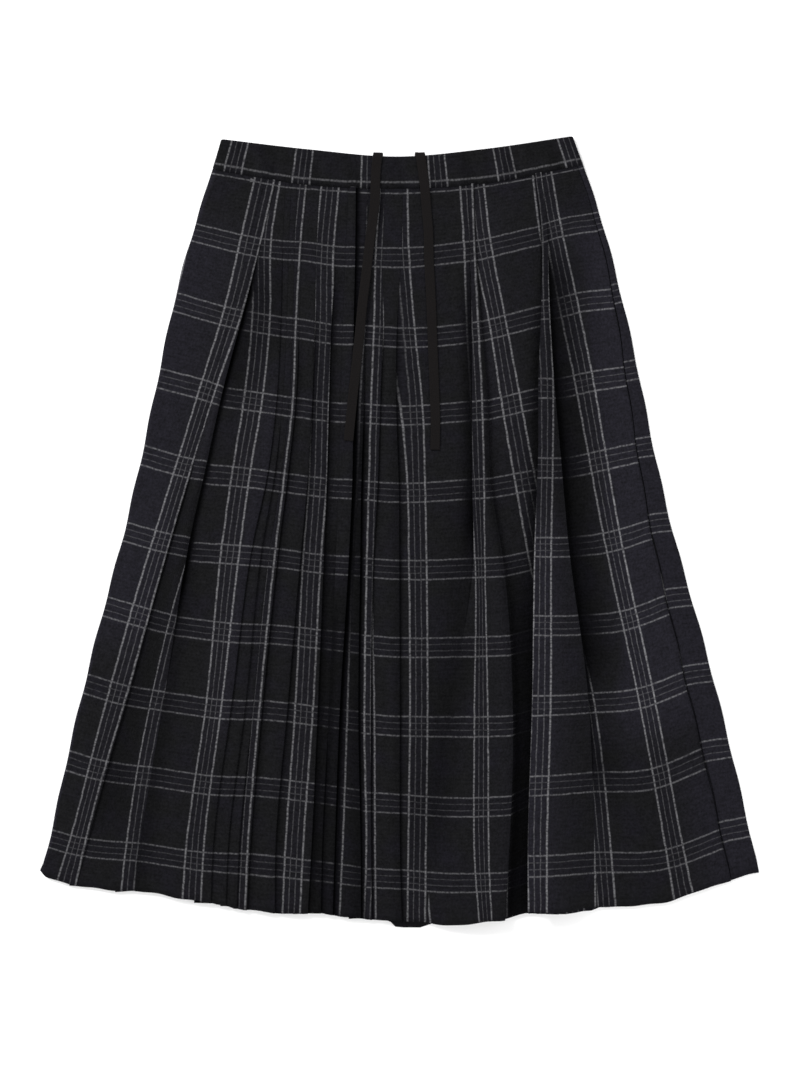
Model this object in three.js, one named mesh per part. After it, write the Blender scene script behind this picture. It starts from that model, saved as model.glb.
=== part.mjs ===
// Pleated midi skirt of checked cotton, laid flat with its front up.
// Millimetres. X runs across the skirt, Y from hem to waist, Z up from the surface.
// The origin is under the middle of the outline, on the surface.
import * as THREE from 'three';

// Rows of a table as objects, under the names of its columns
function table(columns, ...rows) {
  return rows.map((row) => Object.fromEntries(columns.map((column, i) => [column, row[i]])));
}

// Cloth and seams
const CLOTH = 1.0;
const GAP = 0.3;
const PLY = CLOTH + GAP;
const HALF = CLOTH / 2;

// Stack of cloth: heights of a wall's middle above the surface
const UNDER = HALF;
const BACK_TOP = UNDER + 2 * PLY + HALF;
const FRONT_BASE = BACK_TOP + GAP + HALF;

// The side edges are thin, and the front climbs over the back's pleats between these distances
const RAMP_START = 20;
const RAMP_END = 60;

// Pleats
const DEEPEST_PLEAT = 18;
const SMALLEST_PLEAT = 1.7;
const RISE_ROOM = 3;
const BEND_CLEARANCE = 0.5;
const BACK_PLEAT_DEPTH = 11;
const RIDGE_CROWN = 6;

// Waistband and drawstring
const BAND_WALL = 2.4;
const BAND_FRONT = 5.8;
const BAND_BACK = BAND_WALL / 2;
const BAND_EDGE_ROUND = 0.8;
const BAND_STATIONS = 18;
const BAND_TURN_STEPS = 4;
const TAPE_WIDTH = 10;
const TAPE_THICK = 1.0;
const TAPE_CHAMFER = 0.3;
const TAPE_STEPS = 26;

// Sections of the skirt, one for each level of the cloth between waist seam and hem.
// left and right are the outline; yLeft to yRight are the level's height on the
// surface at the left edge, a quarter, the middle, three quarters and the right edge.
// edge is the height of the front's wall at the side edges.
// seamIn is how far each side seam lies from its edge, the left one underneath.
const SECTIONS = table(
  ['name', 'left', 'right', 'yLeft', 'y25', 'y50', 'y75', 'yRight', 'edge', 'seamIn'],
  ['seam', -194.5, 190.8,  378.6,    363,  358.8,    365,  383.8, 4.4,   6],
  ['hip',  -212.7,   208,  320.3,  301.6,  295.4,  307.3,  331.8, 2.6,   6],
  ['row2',   -233, 228.3,  248.6,    222,  212.7,  227.8,  249.6, 1.8,   7],
  ['row3', -250.1, 246.5,  172.6,    143,  131.6,  149.8,  175.8, 1.8,  12],
  ['row4', -266.8, 262.6,   92.6,   62.4,   51.5,   68.6,   98.8, 1.8,  16],
  ['row5',   -285, 280.3,   13.5,  -17.2,  -29.6,   -7.3,   19.8, 1.8,  20],
  ['row7',   -326, 322.9, -144.6, -178.9, -190.3, -169.5, -134.2, 1.8,  27],
  ['row9', -362.4, 361.4, -307.8, -333.3,   -351, -333.3, -297.4, 1.8,  28],
  ['hem',    -374,   374,   -358, -387.4, -405.6,   -392, -351.5, 1.8,  29],
);
const BACK_HEM_DROP = 6.2;

// Pleats of the front, left to right. points is the way that the folded edge points:
// 1 to the right, -1 to the left. Each column is the edge's place across at a section.
// lift and hemLift are how high the edge stands off the pile, half way down and at the hem.
// spare is how many more points the strip before the edge has, where it is wide.
const FRONT_PLEATS = table(
  ['name', 'points', 'seam', 'hip', 'row2', 'row3', 'row4', 'row5', 'row7', 'row9', 'hem',
    'lift', 'hemLift', 'spare'],
  ['side tuck',      1, -138.8, -155.5, -174.2, -192.9, -213.7, -236.6, -279.8, -323.4, -336.4, 1.2, 0.4,  1],
  ['left pleat',     1, -127.4,   -143, -162.2,   -183, -200.2, -217.9, -243.9, -269.9, -278.2, 0.8, 0.2,  0],
  ['second pleat',   1,   -118, -121.2, -123.2, -127.4, -136.8, -153.4, -174.2,   -194,   -196,   0,   0,  0],
  ['third pleat',    1, -112.3, -114.9,   -117, -121.2, -129.5,   -143, -159.6, -178.4, -180.4,   0,   0,  0],
  ['fourth pleat',   1, -106.1, -108.7, -110.8, -114.4, -122.7, -134.7, -151.3, -166.9,   -169,   0,   0,  0],
  ['fifth pleat',    1,  -95.2, -100.4,   -104, -107.6,   -116, -125.8,   -142, -155.5, -158.6,   0,   0,  0],
  ['sixth pleat',    1,  -82.7,  -85.8,  -87.9,  -90.5,  -95.2, -102.4,   -116,   -129, -129.5,   0,   0,  0],
  ['seventh pleat',  1,  -60.8,    -65,  -70.7,  -73.3,  -75.4,  -78.5,  -84.8,    -92,  -95.2,   0,   0,  0],
  ['eighth pleat',   1,    -53,  -55.6,  -58.8,  -60.8,  -62.9,    -66,  -73.3,  -80.6,  -81.6,   0,   0,  0],
  ['ninth pleat',    1,  -45.2,  -45.8,  -47.3,  -47.8,  -48.9,  -52.5,  -61.9,  -67.6,  -69.2,   0,   0,  0],
  ['tenth pleat',    1,  -32.8,  -33.8,  -35.4,  -36.9,  -39.5,  -40.6,  -42.6,    -40,    -40,   0,   0,  0],
  ['centre pleat',   1,    3.6,    2.6,      1,   -3.6,   -0.5,      0,    1.6,    1.6,    2.6,   0,   0,  1],
  ['flap left',     -1,   71.2,   73.3,   74.9,   75.4,   75.4,   71.2,   50.4,   31.7,   28.6, 1.5, 0.5,  3],
  ['flap right',     1,     78,   79.6,   85.3,     92,   94.6,  107.6,    118,  112.8,  109.7,   4,   7,  0],
  ['ridge left',    -1,  140.9,  147.2,  147.2,    144,  143.5,  139.9,  137.3,  132.6,  132.6,   9,  14,  2],
  ['ridge right',    1,  147.7,  153.4,    156,  160.7,    168,  175.2,    196,  203.8,  206.4,   5,   1,  3],
);

// Pleats of the back, out from the middle: the edge's place at the seam and at the hem
const BACK_PLEATS = [
  { name: 'inner', seam: 20, hem: 42 },
  { name: 'second', seam: 44, hem: 98 },
  { name: 'third', seam: 68, hem: 155 },
  { name: 'fourth', seam: 92, hem: 212 },
  { name: 'outer', seam: 116, hem: 268 },
];

// Waistband's upper edge: height at the left end, a quarter, the middle, three quarters, the right end
const BAND_TOP = {
  left: -185.6, right: 180.4, yLeft: 408.7, y25: 398, y50: 390.5, y75: 398.5, yRight: 411.8,
};

// Drawstring tapes: each point is across, along and up, from inside the band to the free end
const TAPE_LEFT = [
  [-22.0, 380, 3.8], [-22.1, 392.2, 3.8], [-22.2, 394.4, 5.8], [-22.5, 392.2, 7.9], [-24.4, 376.5, 7.9],
  [-25.2, 356, 8.5], [-25.8, 340, 8.5], [-30.7, 303.7, 8.5], [-35.4, 262.1, 8.5], [-38, 241.3, 8.5],
  [-42.6, 194.5, 8.5], [-48.9, 137.3, 8.5], [-53, 94.6, 8.5],
];
const TAPE_RIGHT = [
  [20.6, 380, 3.8], [20.9, 392.4, 3.8], [21.2, 394.6, 5.8], [21.6, 392.4, 7.9], [24, 376, 7.9],
  [26.2, 358, 7.6], [28.2, 335, 6.1], [29.9, 315, 5.9], [30.7, 282.9, 5.9], [32.8, 241.3, 5.9],
  [34.3, 199.7, 5.9], [35.9, 158.1, 5.9], [37.4, 116.5, 5.9], [36.9, 85.3, 5.9],
];

// Height on the surface of a level at a place across, from the five heights of its row
function levelY(row, x) {
  const heights = [row.yLeft, row.y25, row.y50, row.y75, row.yRight];
  const spans = heights.length - 1;
  const t = THREE.MathUtils.clamp((x - row.left) / (row.right - row.left), 0, 1) * spans;
  const i = Math.min(Math.floor(t), spans - 1);
  const before = heights[i - 1] ?? 2 * heights[i] - heights[i + 1];
  const after = heights[i + 2] ?? 2 * heights[i + 1] - heights[i];
  const f = t - i;
  const slopeIn = (heights[i + 1] - before) / 2;
  const slopeOut = (after - heights[i]) / 2;
  const h = 3 * f * f - 2 * f * f * f;
  const a = f * (1 - f) * (1 - f);
  const b = f * f * (f - 1);
  return heights[i] * (1 - h) + heights[i + 1] * h + slopeIn * a + slopeOut * b;
}

// Height of the front's lowest ply: thin at the side edges, above the back's pleats between them
function frontBase(section, x) {
  const fromEdge = Math.min(x - section.left, section.right - x);
  const f = THREE.MathUtils.clamp((fromEdge - RAMP_START) / (RAMP_END - RAMP_START), 0, 1);
  return section.edge + (FRONT_BASE - section.edge) * f;
}

// How far the pleats have opened at a section, from 0 where they are stitched down to 1
function opening(index) {
  return THREE.MathUtils.smoothstep(index / (SECTIONS.length - 1), 0.1, 0.6);
}

// How far a folded edge stands off the pile at a section
function edgeLift(pleat, index) {
  const towardsHem = THREE.MathUtils.smoothstep(index / (SECTIONS.length - 1), 0.6, 1);
  return opening(index) * THREE.MathUtils.lerp(pleat.lift, pleat.hemLift, towardsHem);
}

// A wall's middle line turning back on itself at x, from height z0 to z1; way is 1 where it bulges right
function foldBack(x, z0, z1, way) {
  const radius = Math.abs(z1 - z0) / 2;
  const reach = way * HALF;
  const start = x - reach - way * radius;
  return [
    [start, z0],
    [x - reach, (z0 + z1) / 2],
    [start, z1],
  ];
}

// Evenly spaced points between two points of a middle line, arched up by the crown's height
function between(from, to, count, crown = 0) {
  return Array.from({ length: count }, (_, i) => {
    const f = (i + 1) / (count + 1);
    const arch = 4 * crown * f * (1 - f);
    return [THREE.MathUtils.lerp(from[0], to[0], f), THREE.MathUtils.lerp(from[1], to[1], f) + arch];
  });
}

// Depth of a pleat under the strip that covers it
function pleatDepth(width, bothEndsHigh) {
  const room = bothEndsHigh ? 0.42 * (width - GAP) : 0.5 * (width - RISE_ROOM);
  return THREE.MathUtils.clamp(room, SMALLEST_PLEAT, DEEPEST_PLEAT);
}

// Middle line of the front at one section, from the left side seam underneath to the right one on top
function frontLine(section, index) {
  const edges = FRONT_PLEATS.map((pleat) => pleat[section.name]);
  const seamX = section.right - section.seamIn - GAP;
  const line = [[section.left + section.seamIn - GAP, UNDER]];
  line.push(...foldBack(section.left, UNDER, section.edge, -1));
  line.push([section.left + RAMP_START, frontBase(section, section.left + RAMP_START)]);
  FRONT_PLEATS.forEach((pleat, k) => {
    const x = edges[k];
    const way = pleat.points;
    const neighbour = way === 1 ? edges[k - 1] ?? section.left + RAMP_START : edges[k + 1] ?? seamX;
    const crowned = FRONT_PLEATS[k - way]?.points === -way;
    const depth = pleatDepth(Math.abs(x - neighbour), crowned);
    const inner = x - way * depth;
    const low = frontBase(section, inner);
    const high = frontBase(section, x) + 2 * PLY + edgeLift(pleat, index);
    const outerTurn = foldBack(x, high, high - PLY, way);
    const innerTurn = foldBack(inner, low + PLY, low, -way);
    const clear = [x + way * BEND_CLEARANCE, frontBase(section, x)];
    const climb = [inner - way * 2 * BEND_CLEARANCE, low + 2 * PLY + edgeLift(pleat, index) / 2];
    const path = [...(crowned ? [] : [climb]), ...outerTurn, ...innerTurn, clear];
    const ordered = way === 1 ? path : path.reverse();
    const crown = way === 1 && crowned ? opening(index) * RIDGE_CROWN : 0;
    line.push(...between(line.at(-1), ordered[0], pleat.spare, crown), ...ordered);
  });
  const ramp = Math.max(section.right - RAMP_END, edges.at(-1) + 2 * RISE_ROOM);
  line.push([ramp, frontBase(section, ramp)]);
  const end = [seamX, frontBase(section, seamX)];
  line.push(...between(line.at(-1), end, 1), end);
  return line;
}

// Middle line of the back at one section, from the left side seam underneath to the right one on top
function backLine(section, index) {
  const f = (SECTIONS[0].y50 - section.y50) / (SECTIONS[0].y50 - SECTIONS.at(-1).y50);
  const place = (pleat) => THREE.MathUtils.lerp(pleat.seam, pleat.hem, f);
  const edges = [
    ...BACK_PLEATS.map((pleat) => ({ x: -place(pleat), way: 1 })).reverse(),
    ...BACK_PLEATS.map((pleat) => ({ x: place(pleat), way: -1 })),
  ];
  const innermost = UNDER + 2 * PLY;
  const line = [[section.left + section.seamIn, UNDER]];
  for (const { x, way } of edges) {
    const inner = x - way * BACK_PLEAT_DEPTH;
    const outerTurn = foldBack(x, UNDER, UNDER + PLY, way);
    const innerTurn = foldBack(inner, UNDER + PLY, innermost, -way);
    const clear = [x + way * BEND_CLEARANCE, innermost];
    const down = [x + way * (BEND_CLEARANCE + RISE_ROOM), UNDER];
    const path = [...outerTurn, ...innerTurn, clear, down];
    line.push(...(way === 1 ? path : path.reverse()));
  }
  line.push(...foldBack(section.right, UNDER, section.edge, 1));
  line.push([section.right - section.seamIn, section.edge]);
  return line;
}

// Both faces of a wall, half its thickness to each side of its middle line
function wallFaces(line, half) {
  const points = line.map(([x, z]) => new THREE.Vector2(x, z));
  const sides = points.slice(1).map((point, i) => point.clone().sub(points[i]).normalize());
  return points.map((point, i) => {
    const into = sides[i - 1] ?? sides[i];
    const out = sides[i] ?? sides[i - 1];
    const along = into.clone().add(out).normalize();
    const reach = half / along.dot(out);
    const normal = new THREE.Vector2(-along.y, along.x).multiplyScalar(reach);
    return [point.clone().add(normal), point.clone().sub(normal)];
  });
}

// Closed solid through rings of the same number of points, capped at both ends or joined into a loop
function loft(rings, joined = false) {
  const size = rings[0].length;
  const positions = rings.flat(2);
  const indices = [];
  const quad = (a, b, c, d) => indices.push(a, b, c, a, c, d);
  const count = joined ? rings.length : rings.length - 1;
  for (let j = 0; j < count; j += 1) {
    const here = j * size;
    const there = ((j + 1) % rings.length) * size;
    for (let k = 0; k < size; k += 1) {
      const next = (k + 1) % size;
      quad(here + k, here + next, there + next, there + k);
    }
  }
  if (!joined) {
    const lastRing = (rings.length - 1) * size;
    for (let k = 0; k < size / 2 - 1; k += 1) {
      const back = size - 1 - k;
      quad(back, back - 1, k + 1, k);
      quad(lastRing + k, lastRing + k + 1, lastRing + back - 1, lastRing + back);
    }
  }
  return outwardGeometry(positions, indices);
}

// Geometry whose faces point out: the order of every face is turned where the volume comes out negative
function outwardGeometry(positions, indices) {
  const corner = (i) => new THREE.Vector3().fromArray(positions, indices[i] * 3);
  let volume = 0;
  for (let i = 0; i < indices.length; i += 3) {
    volume += corner(i).dot(corner(i + 1).cross(corner(i + 2)));
  }
  const ordered = volume < 0 ? indices.slice().reverse() : indices;
  const geometry = new THREE.BufferGeometry();
  geometry.setAttribute('position', new THREE.Float32BufferAttribute(positions, 3));
  geometry.setIndex(ordered);
  geometry.computeVertexNormals();
  return geometry;
}

// A skirt panel: its wall at every section, set on the level's curve
function panelGeometry(lineAt, hemDrop) {
  const rings = SECTIONS.map((section, index) => {
    const faces = wallFaces(lineAt(section, index), HALF);
    const outline = [...faces.map((pair) => pair[0]), ...faces.map((pair) => pair[1]).reverse()];
    const seamGap = index === 0 ? GAP : 0;
    const drop = index === SECTIONS.length - 1 ? hemDrop : 0;
    return outline.map((point) => {
      const f = (point.x - section.left) / (section.right - section.left);
      const sag = drop * Math.sin(Math.PI * THREE.MathUtils.clamp(f, 0, 1));
      return [point.x, levelY(section, point.x) - seamGap - sag, point.y];
    });
  });
  return loft(rings);
}

// The waistband: one flattened loop of doubled cloth, round both sides
function waistbandGeometry() {
  const seam = SECTIONS[0];
  const radius = (BAND_FRONT - BAND_BACK) / 2;
  const middle = (BAND_FRONT + BAND_BACK) / 2;
  const reach = radius + BAND_WALL / 2;
  const stations = [];
  const straight = (from, to, z) => {
    for (let i = 0; i <= BAND_STATIONS; i += 1) {
      const f = THREE.MathUtils.lerp(from, to, i / BAND_STATIONS);
      stations.push({ f, dx: 0, z, out: Math.PI / 2 * Math.sign(z - middle) });
    }
  };
  const turn = (f, from) => {
    for (let i = 1; i < BAND_TURN_STEPS; i += 1) {
      const angle = from - Math.PI * i / BAND_TURN_STEPS;
      stations.push({ f, dx: radius * Math.cos(angle), z: middle + radius * Math.sin(angle), out: angle });
    }
  };
  straight(0, 1, BAND_FRONT);
  turn(1, Math.PI / 2);
  straight(1, 0, BAND_BACK);
  turn(0, -Math.PI / 2);
  const rings = stations.map(({ f, dx, z, out }) => {
    const place = (row, side, lift) => {
      const step = side * BAND_WALL / 2;
      const x = THREE.MathUtils.lerp(row.left + reach, row.right - reach, f) + dx + step * Math.cos(out);
      return [x, levelY(row, x) + lift, z + step * Math.sin(out)];
    };
    return [
      place(seam, 1, 0),
      place(BAND_TOP, 1, -BAND_EDGE_ROUND),
      place(BAND_TOP, 0, 0),
      place(BAND_TOP, -1, -BAND_EDGE_ROUND),
      place(seam, -1, 0),
    ];
  });
  return loft(rings, true);
}

// A flat tape with chamfered edges along a smooth route; its width stays level
function tapeGeometry(route) {
  const curve = new THREE.CatmullRomCurve3(route.map((p) => new THREE.Vector3(...p)), false, 'centripetal');
  const w = TAPE_WIDTH / 2;
  const h = TAPE_THICK / 2;
  const c = TAPE_CHAMFER;
  const section = [
    [-w, c - h], [-w, h - c], [c - w, h], [w - c, h],
    [w, h - c], [w, c - h], [w - c, -h], [c - w, -h],
  ];
  const stops = Array.from({ length: TAPE_STEPS + 1 }, (_, i) => Math.pow(i / TAPE_STEPS, 1.5));
  const rings = stops.map((u) => {
    const point = curve.getPointAt(u);
    const along = curve.getTangentAt(u);
    const across = new THREE.Vector3(1, 0, 0).addScaledVector(along, -along.x).normalize();
    const normal = new THREE.Vector3().crossVectors(across, along);
    const corner = ([a, b]) => point.clone().addScaledVector(across, a).addScaledVector(normal, b);
    return section.map((place) => corner(place).toArray());
  });
  return loft(rings);
}

// One named mesh with its own material
function piece(name, geometry, color, roughness) {
  const mesh = new THREE.Mesh(geometry, new THREE.MeshStandardMaterial({ color, roughness, metalness: 0 }));
  mesh.name = name;
  return mesh;
}

const skirt = new THREE.Group();
skirt.add(piece('waistband', waistbandGeometry(), 0x1d1d22, 0.9));
skirt.add(piece('skirt_front', panelGeometry(frontLine, 0), 0x1b1b1f, 0.9));
skirt.add(piece('skirt_back', panelGeometry(backLine, BACK_HEM_DROP), 0x1a1a1e, 0.9));
skirt.add(piece('drawstring_left', tapeGeometry(TAPE_LEFT), 0x1c1716, 0.8));
skirt.add(piece('drawstring_right', tapeGeometry(TAPE_RIGHT), 0x1c1716, 0.8));

export default skirt;
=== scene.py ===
import math

import bpy
import numpy as np
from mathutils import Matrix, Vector


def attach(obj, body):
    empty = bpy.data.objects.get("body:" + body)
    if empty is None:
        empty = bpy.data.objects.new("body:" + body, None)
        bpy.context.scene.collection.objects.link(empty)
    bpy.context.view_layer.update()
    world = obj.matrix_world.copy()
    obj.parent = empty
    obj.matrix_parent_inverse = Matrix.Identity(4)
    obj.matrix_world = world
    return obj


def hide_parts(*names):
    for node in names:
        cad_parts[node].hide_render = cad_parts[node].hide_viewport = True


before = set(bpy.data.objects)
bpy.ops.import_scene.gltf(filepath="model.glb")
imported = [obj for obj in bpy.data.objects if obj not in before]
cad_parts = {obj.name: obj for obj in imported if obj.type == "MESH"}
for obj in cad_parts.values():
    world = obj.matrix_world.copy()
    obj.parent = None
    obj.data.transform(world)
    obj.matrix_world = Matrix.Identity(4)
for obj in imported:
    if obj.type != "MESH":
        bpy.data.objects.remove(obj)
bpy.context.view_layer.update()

MM = 0.001

# Camera: straight above the middle of the picture, which is 1067 pixels high. A pixel is 1.04 mm
# on the cloth, at the height where most of it lies.
PIXEL = 1.04
PICTURE_HEIGHT = 1067
PICTURE_MIDDLE = (0.5, -1.6)
CLOTH_HEIGHT = 6
LENS = 100
SENSOR = 36
FAR_CLIP = 20

# The solids' walls, gaps, plies and pleat depths
CLOTH = 1.0
GAP = 0.3
PLY = CLOTH + GAP
HALF = CLOTH / 2
UNDER = HALF
FRONT_BASE = UNDER + 2 * PLY + 2 * HALF + GAP
RAMP_START = 20
RAMP_END = 60
DEEPEST_PLEAT = 18
SMALLEST_PLEAT = 1.7
RISE_ROOM = 3
PLEAT_ROOM = 0.5
CROWNED_PLEAT_ROOM = 0.42
BACK_PLEAT_DEPTH = 11
RIDGE_CROWN = 6
WRAP_POINT = 2

# Parts of the skirt's length where the pleats start to open, and over which they do, and the
# same for the change of their edges' height to that at the hem
OPEN_FROM = 0.1
OPEN_OVER = 0.5
HEM_LIFT_FROM = 0.6
HEM_LIFT_OVER = 0.4

# Shell of the cloth that shows, and how finely it is meshed
SHELL = 0.8
CLEARANCE = 0.5
STRIP_STEP = 4.2
LEVEL_STEP = 6.4
TURN_STEPS = 4
INNER_TURN_STEPS = 3

# Check: period, place of the first group's left line, and distance between a group's lines.
# Above the first row it is eased towards the seam, and its rows lie a hair lower than the levels.
WARP_PERIOD = 69.16
WARP_SPACING = 6.07
WEFT_PERIOD = 80.8
WEFT_FIRST = 63.4
WEFT_SPACING = 6.6
WEFT_LOWER = 0.5
SEAM_EASE = 3.4

# The side edges draw in at each row of the check, and the hem is a little uneven
EDGE_WAVE = 0.7
HEM_WAVES = ((34, 0.4, 0.4), (57, 0.6, 1.9), (93, 0.6, 3.1))
HEM_REACH = 16

# At the waist seam the body's cloth rises to the waistband's lower edge
SEAM_RISE = 0.9
SEAM_REACH = 9
SEAM_LEVELS = (1.4, 3.2)


def table(columns, *rows):
    """Rows of a table as dictionaries, under the names of its columns."""
    names = columns.split()
    return [dict(zip(names, row)) for row in rows]


# Sections of the skirt, one for each level of the cloth. down is the level's distance from the
# waist seam on the cloth. left and right are the outline, and yLeft to yRight the level's height
# on the surface at the left edge, a quarter, the middle, three quarters and the right edge.
# edge is the height of the front's wall at the side edges, and seamIn how far each side seam
# lies from its edge.
SECTIONS = table(
    "name down left right yLeft y25 y50 y75 yRight edge seamIn",
    ("seam", 0, -194.5, 190.8, 378.6, 363, 358.8, 365, 383.8, 4.4, 6),
    ("hip", 63.4, -212.7, 208, 320.3, 301.6, 295.4, 307.3, 331.8, 2.6, 6),
    ("row2", 146, -233, 228.3, 248.6, 222, 212.7, 227.8, 249.6, 1.8, 7),
    ("row3", 227, -250.1, 246.5, 172.6, 143, 131.6, 149.8, 175.8, 1.8, 12),
    ("row4", 308, -266.8, 262.6, 92.6, 62.4, 51.5, 68.6, 98.8, 1.8, 16),
    ("row5", 389, -285, 280.3, 13.5, -17.2, -29.6, -7.3, 19.8, 1.8, 20),
    ("row7", 550, -326, 322.9, -144.6, -178.9, -190.3, -169.5, -134.2, 1.8, 27),
    ("row9", 710, -362.4, 361.4, -307.8, -333.3, -351, -333.3, -297.4, 1.8, 28),
    ("hem", 764, -374, 374, -358, -387.4, -405.6, -392, -351.5, 1.8, 29),
)
LEVELS = [section["down"] for section in SECTIONS]
LEVEL_NAMES = [section["name"] for section in SECTIONS]

# The back's hem is a little higher than the front's, shows below it in two places and hangs level
# with it on the right edge. Each row is a place's start, its end and how low the hem hangs there.
BACK_HEM_RISE = 1.6
BACK_HEM_SHOWS = ((-10, 30, 6.5), (138, 208, 4.2), (334, 400, 3.4))
BACK_HEM_FADE = 5

# The lower left corner is rounded
CORNER_RISE = 5
CORNER_REACH = 9

# Pleats of the front, left to right. points is the way that the folded edge points: 1 to the
# right, -1 to the left. Each section's column is the edge's place across. lift and hemLift are
# how high the edge stands off the pile, half way down and at the hem, and roll is how far the
# cloth beside the edge rounds up. The fold shows between starts and ends, down the cloth.
FRONT_PLEATS = table(
    "name points seam hip row2 row3 row4 row5 row7 row9 hem lift hemLift roll starts ends",
    ("side tuck", 1, -138.8, -155.5, -174.2, -192.9, -213.7, -236.6, -279.8, -323.4, -336.4,
     1.2, 0.4, 1.6, 290, 680),
    ("left pleat", 1, -127.4, -143, -162.2, -183, -200.2, -217.9, -243.9, -269.9, -278.2,
     1.6, 0.2, 3, 40, 420),
    ("second", 1, -118, -121.2, -123.2, -127.4, -136.8, -153.4, -174.2, -194, -196,
     0.3, 0.3, 1.2, 50, 999),
    ("third", 1, -112.3, -114.9, -117, -121.2, -129.5, -143, -159.6, -178.4, -180.4,
     0.2, 0.2, 0.8, 240, 999),
    ("fourth", 1, -106.1, -108.7, -110.8, -114.4, -122.7, -134.7, -151.3, -166.9, -169,
     0.1, 0.2, 0.5, 560, 999),
    ("fifth", 1, -95.2, -100.4, -104, -107.6, -116, -125.8, -142, -155.5, -158.6,
     0.2, 0.3, 1, 140, 999),
    ("sixth", 1, -82.7, -85.8, -87.9, -90.5, -95.2, -102.4, -116, -129, -129.5,
     0.2, 0.3, 1, 110, 999),
    ("seventh", 1, -60.8, -65, -70.7, -73.3, -75.4, -78.5, -84.8, -92, -95.2,
     0.3, 0.4, 1.6, 60, 999),
    ("eighth", 1, -53, -55.6, -58.8, -60.8, -62.9, -66, -73.3, -80.6, -81.6,
     0.1, 0.3, 0.6, 560, 999),
    ("ninth", 1, -45.2, -45.8, -47.3, -47.8, -48.9, -52.5, -61.9, -67.6, -69.2,
     0.3, 0.4, 1.4, -60, 999),
    ("tenth", 1, -32.8, -33.8, -35.4, -36.9, -39.5, -40.6, -42.6, -40, -40,
     0.4, 0.4, 1.4, 130, 999),
    ("beside centre", 1, -15, -17.2, -17.2, -19.8, -22.4, -27, -29.6, -29.1, -28.6,
     0.1, 0.1, 0.4, 110, 999),
    ("centre", 1, 3.6, 2.6, -2.6, -3.1, -0.5, 0, 0.5, 1, 2.6, 0.3, 0.3, 1.2, 90, 999),
    ("flap left", -1, 71.2, 73.3, 74.9, 75.4, 75.4, 76.5, 50.4, 31.7, 28.6,
     1.5, 0.5, 0.6, 20, 340),
    ("flap right", 1, 78, 79.6, 85.3, 92, 94.6, 107.6, 118, 112.8, 109.7, 4, 9, 2, 50, 999),
    ("ridge left", -1, 140.9, 147.2, 147.2, 144, 143.5, 139.9, 137.3, 132.6, 132.6,
     9, 15, 0, 40, 999),
    ("ridge right", 1, 147.7, 153.4, 156, 160.7, 168, 175.2, 196, 203.8, 206.4,
     5, 1, 0, 40, 520),
)

# Folds fade in and out along the cloth, stay as faint lines, and are half as strong where the
# pleats are stitched down. Heights are read just beside a fold.
FOLD_FADE_IN = 60
FOLD_FADE_OUT = 160
FAINTEST_FOLD = 0.1
STITCHED_FOLD = 0.5
FOLD_SIDE = 0.05

# Cloth beside a folded edge rounds up steeply, then falls off slowly
ROLL_HEIGHT = 1.5
ROLL_STEEP = 3
ROLL_LONG = 18
ROLL_START = 8

# Painted shade and painted light beside the folds: a plus shade darkens the colour where a valley or
# sunk cloth lies in shade, and a minus one lightens it where light falls. side is 1 for the cloth on an
# edge's right and -1 for its left, reach how far the painted shade spreads from the edge, shade its
# strength and rise the height in millimetres that the cloth swells by there. It shows between starts and
# ends, down the cloth.
SHADES = table(
    "edge side reach shade rise starts ends",
    ("left", 1, 110, -0.2, 0, 20, 480),
    ("side tuck", -1, 30, -0.06, 2.2, 330, 740),
    ("side tuck", 1, 55, 0.2, 0, 290, 660),
    ("left pleat", -1, 34, -0.14, 2, 120, 620),
    ("left pleat", 1, 7, 0.45, 0, 60, 420),
    ("left pleat", 1, 66, 0.22, 0, 60, 200),
    ("left pleat", 1, 24, 0.22, 0, 360, 760),
    ("second", -1, 44, -0.18, 1.5, 160, 560),
    ("fifth", 1, 10, 0.25, 0, 140, 999),
    ("sixth", 1, 10, 0.25, 0, 110, 999),
    ("seventh", 1, 10, 0.4, 0, 60, 999),
    ("eighth", -1, 14, 0.25, 0, 330, 999),
    ("eighth", 1, 9, 0.32, 0, 400, 999),
    ("ninth", -1, 16, 0.22, 0, 380, 999),
    ("ninth", 1, 8, 0.6, 0, -60, 999),
    ("tenth", -1, 30, 0.26, 0, 120, 999),
    ("tenth", 1, 7, 0.62, 0, 200, 999),
    ("beside centre", -1, 30, -0.08, 0, 400, 999),
    ("beside centre", 1, 4, 0.3, 0, 110, 999),
    ("centre", -1, 14, 0.12, 0, 150, 999),
    ("centre", 1, 5, 0.35, 0, 100, 999),
    ("flap left", -1, 18, 0.4, 0, 70, 340),
    ("flap left", -1, 44, 0.2, 0, 300, 650),
    ("flap left", 1, 26, 0.2, 0, 430, 650),
    ("flap right", -1, 40, -0.08, 0, 360, 700),
    ("flap right", 1, 60, -0.12, 0, -20, 240),
    ("ridge left", -1, 16, 0.28, 0, 110, 999),
    ("ridge left", 1, 70, -0.22, 0, 330, 999),
    ("ridge right", 1, 64, 0.64, 0, 60, 500),
    ("ridge right", 1, 46, 0.28, 0, 500, 620),
    ("ridge right", 1, 12, 0.1, 0, 50, 320),
    ("right seam", -1, 190, -0.38, 3, 40, 560),
    ("right seam", -1, 60, -0.2, 0, 600, 999),
)
# Painted shade: its fade along the cloth, its plain level, its level inside folds, its darkest, and its
# lighter level on the back where it wraps over on top
SHADE_FADE = 70
PLAIN_SHADE = 0.35
HIDDEN_SHADE = 0.85
DARKEST_SHADE = 0.95
WRAP_SHADE = 0.1
RISE_CLEAR = 18
FAR_EDGE = 99

# The fold on the ridge's left is deep, and gets a dark painted shade where it is narrow
GAP_SHADE = 0.73
GAP_WIDE = 75
GAP_NARROW = 30
GAP_SIDE = 12
GAP_SIDE_SHADE = 0.6
GAP_STARTS = 270
GAP_FADE = 210

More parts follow.
